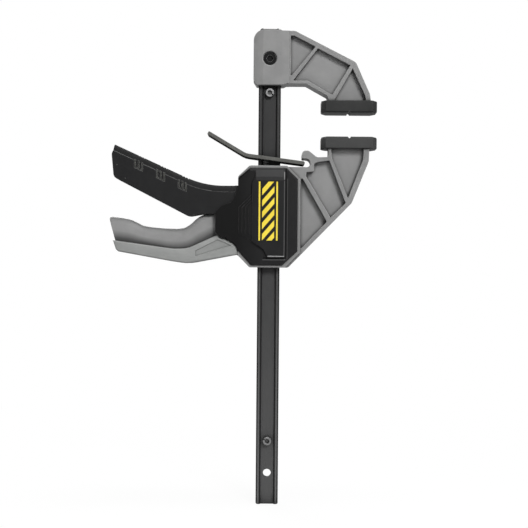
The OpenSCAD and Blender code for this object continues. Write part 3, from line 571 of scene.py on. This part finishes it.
# Half of the strip's section: shares of its half depth and of its thickness
STRIP_SECTION_SHARES = ((1, 0), (1, 0.3), (0.998, 0.52), (0.985, 0.7), (0.955, 0.85), (0.905, 0.95),
                        (0.84, 0.99), (0.72, 1), (0.5, 1), (0.25, 1))
# How far the strip's sides lie behind the trigger's cheeks
SUNK = 0.3 * MM
# Rounded free end: shares of the section and how far each stands out, and where the full section starts
STRIP_CAPS = ((0.9, 0.15 * MM), (0.975, 0.0))
STRIP_CAP_BACK = 0.45 * MM
# Left ends of the combs that key into the trigger's cheeks, as shares of the grips' reach
COMB_SHARES = (-0.841, -0.703, -0.567)
# Each comb: three fingers with spaces, on a foot bar, measured down and up from the parting line
FINGERS = 3
FINGER, SPACE, DROP, RISE, FOOT_BAR, COMB_DEEP = 1.5 * MM, 1.35 * MM, 6.2 * MM, 1.1 * MM, 1.2 * MM, 0.8 * MM
COMB_W = FINGERS * FINGER + (FINGERS - 1) * SPACE
# Treads cut across the strip's top above each comb: start, width, pitch, and floor over the parting line
TREADS = 3
TREAD_START, TREAD_W, TREAD_PITCH, TREAD_LOW = 3.0 * MM, 1.3 * MM, 2.2 * MM, 4.75 * MM
# Raised flash line along the parting, light with a painted highlight, between these X in millimetres, and
# its half height
BEADS = ((-127.2, -110.9), (-103.3, -92.7), (-85.1, -74.8), (-67.2, -47.0))
BEAD_HALF = 0.2 * MM
# Points along the strip and along its flash line
STRIP_POINTS, BEAD_POINTS = 44, 220
FLASH_INDEX, COMB_INDEX = 1, 2


def strip_corners(drop):
    """The two corners of the line at a depth under the strip's top, each with its radius."""
    corners = []
    for x_share, z_share, r_share in STRIP_SHARES:
        x, z = grip_point(x_share, z_share)
        corners.append((x - STRIP_SHIFT_SHARE * drop, z - drop, r_share * HOUSING_H))
    return corners


def strip_path(drop, count=STRIP_POINTS):
    """Points along the strip, from its free end to the housing, at a depth under its top."""
    (x0, z0, _), bend = strip_corners(drop)
    end_x, end_z = grip_point(STRIP_END_SHARE, STRIP_ROOT_SHARE)
    path = rounded([(x0, z0, 0), bend, (end_x, end_z - drop, 0)], step=3)
    spans = [0]
    for a, b in zip(path, path[1:]):
        spans.append(spans[-1] + (b - a).length)
    out, j = [], 0
    for i in range(count):
        want = spans[-1] * i / (count - 1)
        while j < len(spans) - 2 and spans[j + 1] < want:
            j += 1
        t = (want - spans[j]) / (spans[j + 1] - spans[j])
        out.append(path[j].lerp(path[j + 1], min(1, t)))
    return out


def parting_z(x):
    """Height of the straight part of the parting line."""
    (x0, z0, _), (x1, z1, _) = strip_corners(STRIP)
    return z0 + (z1 - z0) / (x1 - x0) * (x - x0)


def beside_parting(left, right, low, high):
    """A slanted field between two X, from low to high over the parting line."""
    a, b = parting_z(left), parting_z(right)
    return [(left, a + high), (left, a + low), (right, b + low), (right, b + high)]


def make_strip_body():
    rings = [section_ring(low, top, SUNK - TRIGGER_HALF, STRIP_SECTION_SHARES)
             for low, top in zip(strip_path(STRIP), strip_path(0))]
    end = rings[0]
    middle = sum(end, Vector()) / len(end)
    ahead = (end[0] - rings[1][0]).normalized()
    caps = [[middle + (v - middle) * share + ahead * out for v in end] for share, out in STRIP_CAPS]
    rings[0] = [v - ahead * STRIP_CAP_BACK for v in end]
    bm = bmesh.new()
    loft(bm, caps + rings)
    return finish_piece("trigger_grip_soft", bm, soft_grip)


def tread_cutters():
    cutters = []
    for share in COMB_SHARES:
        for k in range(TREADS):
            left = share * GRIP_REACH + TREAD_START + TREAD_PITCH * k
            field = beside_parting(left, left + TREAD_W, TREAD_LOW, 2 * TREAD_LOW)
            cutters.append(prism_piece("tread", field, -2 * TRIGGER_HALF, 2 * TRIGGER_HALF, soft_grip))
    return cutters


def add_flash_line(bm, side):
    near, far = side * (TRIGGER_HALF - JOIN), side * (TRIGGER_HALF - 2 * SUNK)
    section = ((near, -BEAD_HALF), (near, BEAD_HALF), (far, BEAD_HALF), (far, -BEAD_HALF))
    path = strip_path(STRIP, BEAD_POINTS)
    for left, right in BEADS:
        run = [p for p in path if left * MM <= p.x <= right * MM]
        loft(bm, [[Vector((p.x, y, p.y + up)) for y, up in section] for p in run], FLASH_INDEX)


def add_combs(bm, side):
    near, far = side * (TRIGGER_HALF - SUNK / 2), side * (TRIGGER_HALF - COMB_DEEP + JOIN)
    for share in COMB_SHARES:
        left = share * GRIP_REACH
        for i in range(FINGERS):
            x = left + i * (FINGER + SPACE)
            prism(bm, beside_parting(x, x + FINGER, FOOT_BAR - DROP, RISE), near, far, COMB_INDEX)
        foot = beside_parting(left, left + COMB_W, JOIN - DROP, FOOT_BAR - DROP)
        prism(bm, foot, near, far, COMB_INDEX)


def make_strip():
    strip = make_strip_body()
    cut(strip, tread_cutters())
    strip.data.materials.append(flash_highlight)
    strip.data.materials.append(comb_grip)
    bm = bmesh.new()
    bm.from_mesh(strip.data)
    for side in (-1, 1):
        add_flash_line(bm, side)
        add_combs(bm, side)
    bmesh.ops.recalc_face_normals(bm, faces=bm.faces)
    bm.to_mesh(strip.data)
    bm.free()
    shade_smooth(strip.data)
    stand_for(strip, "trigger_grip", "trigger")


make_strip()

# Small moulded pips on the trigger's cheeks, light with a painted highlight
# Their X and Z in millimetres, radius, number of sides, depth in the cheek and height over it
PIPS = ((-124.7, 278.6), (-117.8, 267.6), (-43.0, 239.0))
PIP_R, PIP_SIDES, PIP_SUNK, PIP_RISE = 0.4 * MM, 10, 0.1 * MM, 0.06 * MM


def make_pips():
    bm = bmesh.new()
    angles = [2 * math.pi * k / PIP_SIDES for k in range(PIP_SIDES)]
    for x, z in PIPS:
        ring = [(x * MM + PIP_R * math.cos(a), z * MM + PIP_R * math.sin(a)) for a in angles]
        for side in (-1, 1):
            prism(bm, ring, side * (TRIGGER_HALF - PIP_SUNK), side * (TRIGGER_HALF + PIP_RISE))
    pips = finish_piece("trigger_pips", bm, flash_highlight)
    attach(pips, "trigger")


make_pips()

# Springs, each with the body that presses on its upper end
PRESSED = (("drive_spring", "drive_plates"), ("brake_spring_front", "brake_lever"),
           ("brake_spring_rear", "brake_lever"))


def make_spring(node):
    """The node's own coil again, as a piece of its own, with the node hidden."""
    mesh = NODES[node].data.copy()
    mesh.transform(NODES[node].matrix_world)
    coil = bpy.data.objects.new(node + "_coil", mesh)
    bpy.context.scene.collection.objects.link(coil)
    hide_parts(node)
    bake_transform(coil)


bpy.context.view_layer.update()
for spring, presser in PRESSED:
    make_spring(spring)

# Handle: the rounded web over its palm flange
PALM_HALF, WEB_HALF = 13.5 * MM, 8 * MM
# Foot and top of the web at stations along it, as shares of reach and of height
WEB_SHARES = (
    (-0.961, 0.265, -0.997, 0.474), (-0.947, 0.261, -0.982, 0.489), (-0.863, 0.242, -0.882, 0.469),
    (-0.824, 0.231, -0.832, 0.438), (-0.777, 0.218, -0.783, 0.403), (-0.702, 0.195, -0.702, 0.386),
    (-0.637, 0.172, -0.624, 0.378), (-0.586, 0.163, -0.573, 0.377), (-0.538, 0.166, -0.527, 0.388),
    (-0.484, 0.188, -0.489, 0.424), (-0.443, 0.222, -0.449, 0.48), (-0.395, 0.262, -0.413, 0.513),
    (-0.331, 0.317, -0.38, 0.52), (-0.29, 0.26, -0.33, 0.535))
WEB_STEPS = 4
# Half of the web's section: shares of its half depth and of its height
WEB_SECTION_SHARES = ((0.88, -0.06), (0.94, 0.04), (0.975, 0.16), (0.995, 0.3), (1, 0.44), (0.995, 0.57),
                      (0.975, 0.68), (0.935, 0.79), (0.865, 0.88), (0.74, 0.945), (0.56, 0.985), (0.36, 1),
                      (0.18, 1))
# Where the web meets the housing: shares of its height, and how far inside them the web ends
ROOT_FOOT_SHARE, ROOT_TOP_SHARE = 0.125, 0.515
ROOT_FOOT_GAP, ROOT_TOP_GAP = 1 * MM, 0.3 * MM
# Outline of the flange: shares of reach and height, with radii as shares of height
FLANGE_TOP_SHARES = ((-0.97, 0.257, 0), (-0.6, 0.178, 0.3), (-0.51, 0.178, 0.3))
FLANGE_BOTTOM_SHARES = ((-0.5, 0.031, 0.4), (-0.61, 0.056, 0.3),
                        (-0.935, 0.146, 0.02), (-0.95, 0.166, 0.02))
# Its edge along the cover's lobe: shares of the housing's half width and of its height
LOBE_SHARES = ((-1.65, 0.317), (-1.575, 0.293), (-1.14, 0.236), (-1.04, 0.204), (-1, 0.15))
# Panel sunk in either side of the flange, and its depth
PANEL_SHARES = ((-0.456, 0.107), (-0.456, 0.158), (-0.318, 0.27), (-0.233, 0.215))
PANEL_DEEP = 0.7 * MM
# Softened sides of the flange, from its front face on: depth, and how far the outline is moved in there
FLANGE_EDGE = ((-PALM_HALF, 1.3 * MM), (-13.3 * MM, 0.75 * MM), (-12.9 * MM, 0.3 * MM), (-12.2 * MM, 0.0))
# The least cosine that an inset corner is worked out with
CORNER_LEAST = 0.35
HANDLE_SHARP = 32
WEB_INDEX = 1


def moved_in(outline, inset):
    """The outline moved in, corner by corner."""
    area = sum(a.x * b.y - b.x * a.y for a, b in zip(outline, outline[1:] + outline[:1]))
    side = 1 if area > 0 else -1
    out = []
    for i, at in enumerate(outline):
        back = (at - outline[i - 1]).normalized()
        ahead = (outline[(i + 1) % len(outline)] - at).normalized()
        n0, n1 = Vector((-back.y, back.x)) * side, Vector((-ahead.y, ahead.x)) * side
        middle = (n0 + n1).normalized()
        out.append(at + middle * inset / max(CORNER_LEAST, middle.dot(n0)))
    return out


def between(before, a, b, after, t):
    """Catmull-Rom value at the share t of the way from a to b."""
    square = 2 * before - 5 * a + 4 * b - after
    cube = 3 * a - before - 3 * b + after
    return 0.5 * (2 * a + (b - before) * t + square * t * t + cube * t ** 3)


def smooth_rows(rows, steps):
    """Rows of numbers with more rows between them, on smooth curves through them all."""
    out = []
    for i in range(len(rows) - 1):
        near = rows[max(i - 1, 0)], rows[i], rows[i + 1], rows[min(i + 2, len(rows) - 1)]
        for k in range(steps):
            out.append(tuple(between(*values, k / steps) for values in zip(*near)))
    return out + [rows[-1]]


def handle_web():
    """The web's mesh, whose vertices know their height as a share of the web's."""
    rows = [(*grip_point(a, b), *grip_point(c, d)) for a, b, c, d in WEB_SHARES]
    root_foot = BASE + ROOT_FOOT_SHARE * HOUSING_H + ROOT_FOOT_GAP
    root_top = BASE + ROOT_TOP_SHARE * HOUSING_H - ROOT_TOP_GAP
    stations = smooth_rows(rows, WEB_STEPS) + [(-HALF_W, root_foot, -HALF_W, root_top)]
    rings = [section_ring(Vector((a, b)), Vector((c, d)), WEB_HALF, WEB_SECTION_SHARES)
             for a, b, c, d in stations]
    bm = bmesh.new()
    share = bm.verts.layers.float.new("height_share")
    heights = [s for _, s in WEB_SECTION_SHARES]
    for row in loft(bm, rings, WEB_INDEX):
        for vertex, height in zip(row, heights + heights[::-1]):
            vertex[share] = height
    return bm


def flange_corners(shares):
    return [(*grip_point(x, z), r * HOUSING_H) for x, z, r in shares]


def make_palm():
    """The palm flange, with softened sides and a sunk panel on either side."""
    top, bottom = flange_corners(FLANGE_TOP_SHARES), flange_corners(FLANGE_BOTTOM_SHARES)
    lobe = [(x * HALF_W, BASE + z * HOUSING_H, 0) for x, z in LOBE_SHARES]
    foot = (-HALF_W, BASE + ROOT_FOOT_SHARE * HOUSING_H, 0)
    outline = rounded(top + lobe + [foot] + bottom)
    rings = [[Vector((p.x, y, p.y)) for p in moved_in(outline, inset)] for y, inset in FLANGE_EDGE]
    rings += [flipped(ring) for ring in reversed(rings)]
    bm = bmesh.new()
    loft(bm, rings)
    palm = finish_piece("palm", bm, handle_nylon)
    panel = [grip_point(x, z) for x, z in PANEL_SHARES]
    near, far = PALM_HALF - PANEL_DEEP, PALM_HALF + OVERRUN
    cut(palm, [prism_piece("panel", panel, side * near, side * far, handle_nylon) for side in (-1, 1)])
    return palm


def make_handle():
    bm = handle_web()
    palm = make_palm()
    bm.from_mesh(palm.data)
    bpy.data.objects.remove(palm)
    handle = finish_piece("handle_moulding", bm, handle_nylon, HANDLE_SHARP)
    handle.data.materials.append(web_nylon)
    stand_for(handle, "handle", "carriage")


make_handle()

# Printed field on the cover's plateau: slanted stripes between two upright rules
FIELD_LEFT, FIELD_RIGHT, FIELD_LOW, FIELD_HIGH = -8.4 * MM, 7.2 * MM, 217.3 * MM, 265.3 * MM
# A rule's width, and the rules' widths from the field's side to the stripes
RULE_W, RULES_TO_STRIPES = 1.3 * MM, 2.2
# Height, pitch and climb of the stripes
STRIPE_H, STRIPE_PITCH, STRIPE_CLIMB = 5.2 * MM, 9.2 * MM, 11.5 * MM
PRINT_RISE = 0.12 * MM


def clipped(points, left, right, low, high):
    """The part of a convex outline that lies within a rectangle."""
    for axis, limit, sign in ((0, left, 1), (0, right, -1), (1, low, 1), (1, high, -1)):
        out = []
        for i, b in enumerate(points):
            a = points[i - 1]
            da, db = sign * (a[axis] - limit), sign * (b[axis] - limit)
            if (da >= 0) != (db >= 0):
                t = da / (da - db)
                out.append((a[0] + t * (b[0] - a[0]), a[1] + t * (b[1] - a[1])))
            if db >= 0:
                out.append(b)
        points = out
        if not points:
            break
    return points


def printed_shapes():
    shapes = []
    for a in (FIELD_LEFT, FIELD_RIGHT - RULE_W):
        b = a + RULE_W
        shapes.append([(a, FIELD_LOW), (b, FIELD_LOW), (b, FIELD_HIGH), (a, FIELD_HIGH)])
    left, right = FIELD_LEFT + RULES_TO_STRIPES * RULE_W, FIELD_RIGHT - RULES_TO_STRIPES * RULE_W
    below = math.ceil((STRIPE_CLIMB + STRIPE_H) / STRIPE_PITCH)
    above = math.ceil((FIELD_HIGH - FIELD_LOW) / STRIPE_PITCH)
    for i in range(-below, above):
        z = FIELD_LOW + i * STRIPE_PITCH
        far = z + STRIPE_CLIMB
        stripe = [(left, z), (right, far), (right, far + STRIPE_H), (left, z + STRIPE_H)]
        stripe = clipped(stripe, left, right, FIELD_LOW, FIELD_HIGH)
        if len(stripe) > 3:
            shapes.append(stripe)
    return shapes


def make_print():
    bm = bmesh.new()
    face = -HALF_T - PLATEAU
    for shape in printed_shapes():
        prism(bm, shape, face - PRINT_RISE, face + JOIN)
    bars = finish_piece("printed_bars", bm, yellow_print)
    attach(bars, "carriage")


make_print()

# Floor, world and lamps
FLOOR_HALF, FLOOR_CELLS, FLOOR_TONE = 6, 8, 0.86
# Gap between the part's foot and the floor
FLOOR_GAP = 0.2 * MM
# The floor turns white between these distances from the object, from this share on
WHITE_NEAR, WHITE_FAR, WHITE_SHARE = 0.12, 0.75, 0.93
WHITE = (1, 1, 1)
WORLD_LIGHT = 0.17
# Name, place, aim, width and height, and power of each lamp
LAMPS = (("key", (0.48, -1.55, 0.98), (0, 0, 0.22), (0.5, 0.45), 18.5),
         ("fill", (-1.2, -1.0, 0.5), (0, 0, 0.2), (0.9, 0.9), 0.8),
         ("top", (0.15, -0.15, 1.7), (0, 0, 0.2), (0.6, 0.5), 17),
         ("back", (-0.5, 1.3, 0.9), (0, 0, 0.2), (0.9, 0.8), 12))


def pale_floor():
    """White far away, and softly shaded close to the object."""
    look = bpy.data.materials.new("pale_floor")
    graph = Graph(look)
    rays = graph.add("ShaderNodeLightPath").outputs
    shown = graph.maths("MAXIMUM", rays["Is Camera Ray"], rays["Is Glossy Ray"])
    coord = graph.add("ShaderNodeTexCoord").outputs["Object"]
    away = graph.maths("LENGTH", coord, kind="ShaderNodeVectorMath")
    white = graph.maths("MULTIPLY", shown, graph.ramp(away, WHITE_NEAR, WHITE_FAR, WHITE_SHARE, 1.0))
    diffuse = graph.add("ShaderNodeBsdfDiffuse", Color=grey(FLOOR_TONE))
    glow = graph.add("ShaderNodeEmission", Color=WHITE, Strength=1.0)
    mixed = graph.mix_shaders(white, diffuse.outputs["BSDF"], glow.outputs["Emission"])
    graph.add("ShaderNodeOutputMaterial", Surface=mixed)
    return look


def make_floor():
    bm = bmesh.new()
    bmesh.ops.create_grid(bm, x_segments=FLOOR_CELLS, y_segments=FLOOR_CELLS, size=FLOOR_HALF)
    mesh = bpy.data.meshes.new("floor")
    bm.to_mesh(mesh)
    bm.free()
    mesh.materials.append(pale_floor())
    floor = bpy.data.objects.new("floor", mesh)
    floor.location = (0, 0, CAD_LO[2] - FLOOR_GAP)
    bpy.context.scene.collection.objects.link(floor)


def make_world():
    """White where the camera sees it, and a weak even light for the object."""
    world = bpy.data.worlds.new("studio")
    graph = Graph(world)
    rays = graph.add("ShaderNodeLightPath").outputs
    shown = graph.maths("MAXIMUM", rays["Is Camera Ray"], rays["Is Transmission Ray"])
    seen = graph.add("ShaderNodeBackground", Color=WHITE, Strength=1.0)
    light = graph.add("ShaderNodeBackground", Color=WHITE, Strength=WORLD_LIGHT)
    mixed = graph.mix_shaders(shown, light.outputs["Background"], seen.outputs["Background"])
    graph.add("ShaderNodeOutputWorld", Surface=mixed)
    bpy.context.scene.world = world


def make_lamp(name, at, aim, size, watts):
    data = bpy.data.lights.new(name, "AREA")
    data.shape = "RECTANGLE"
    data.size, data.size_y = size
    data.energy = watts
    lamp = bpy.data.objects.new(name, data)
    bpy.context.scene.collection.objects.link(lamp)
    lamp.location = at
    lamp.rotation_mode = "QUATERNION"
    lamp.rotation_quaternion = (Vector(aim) - Vector(at)).to_track_quat("-Z", "Y")


make_floor()
make_world()
for lamp_row in LAMPS:
    make_lamp(*lamp_row)

bpy.context.scene.view_settings.view_transform = "Standard"
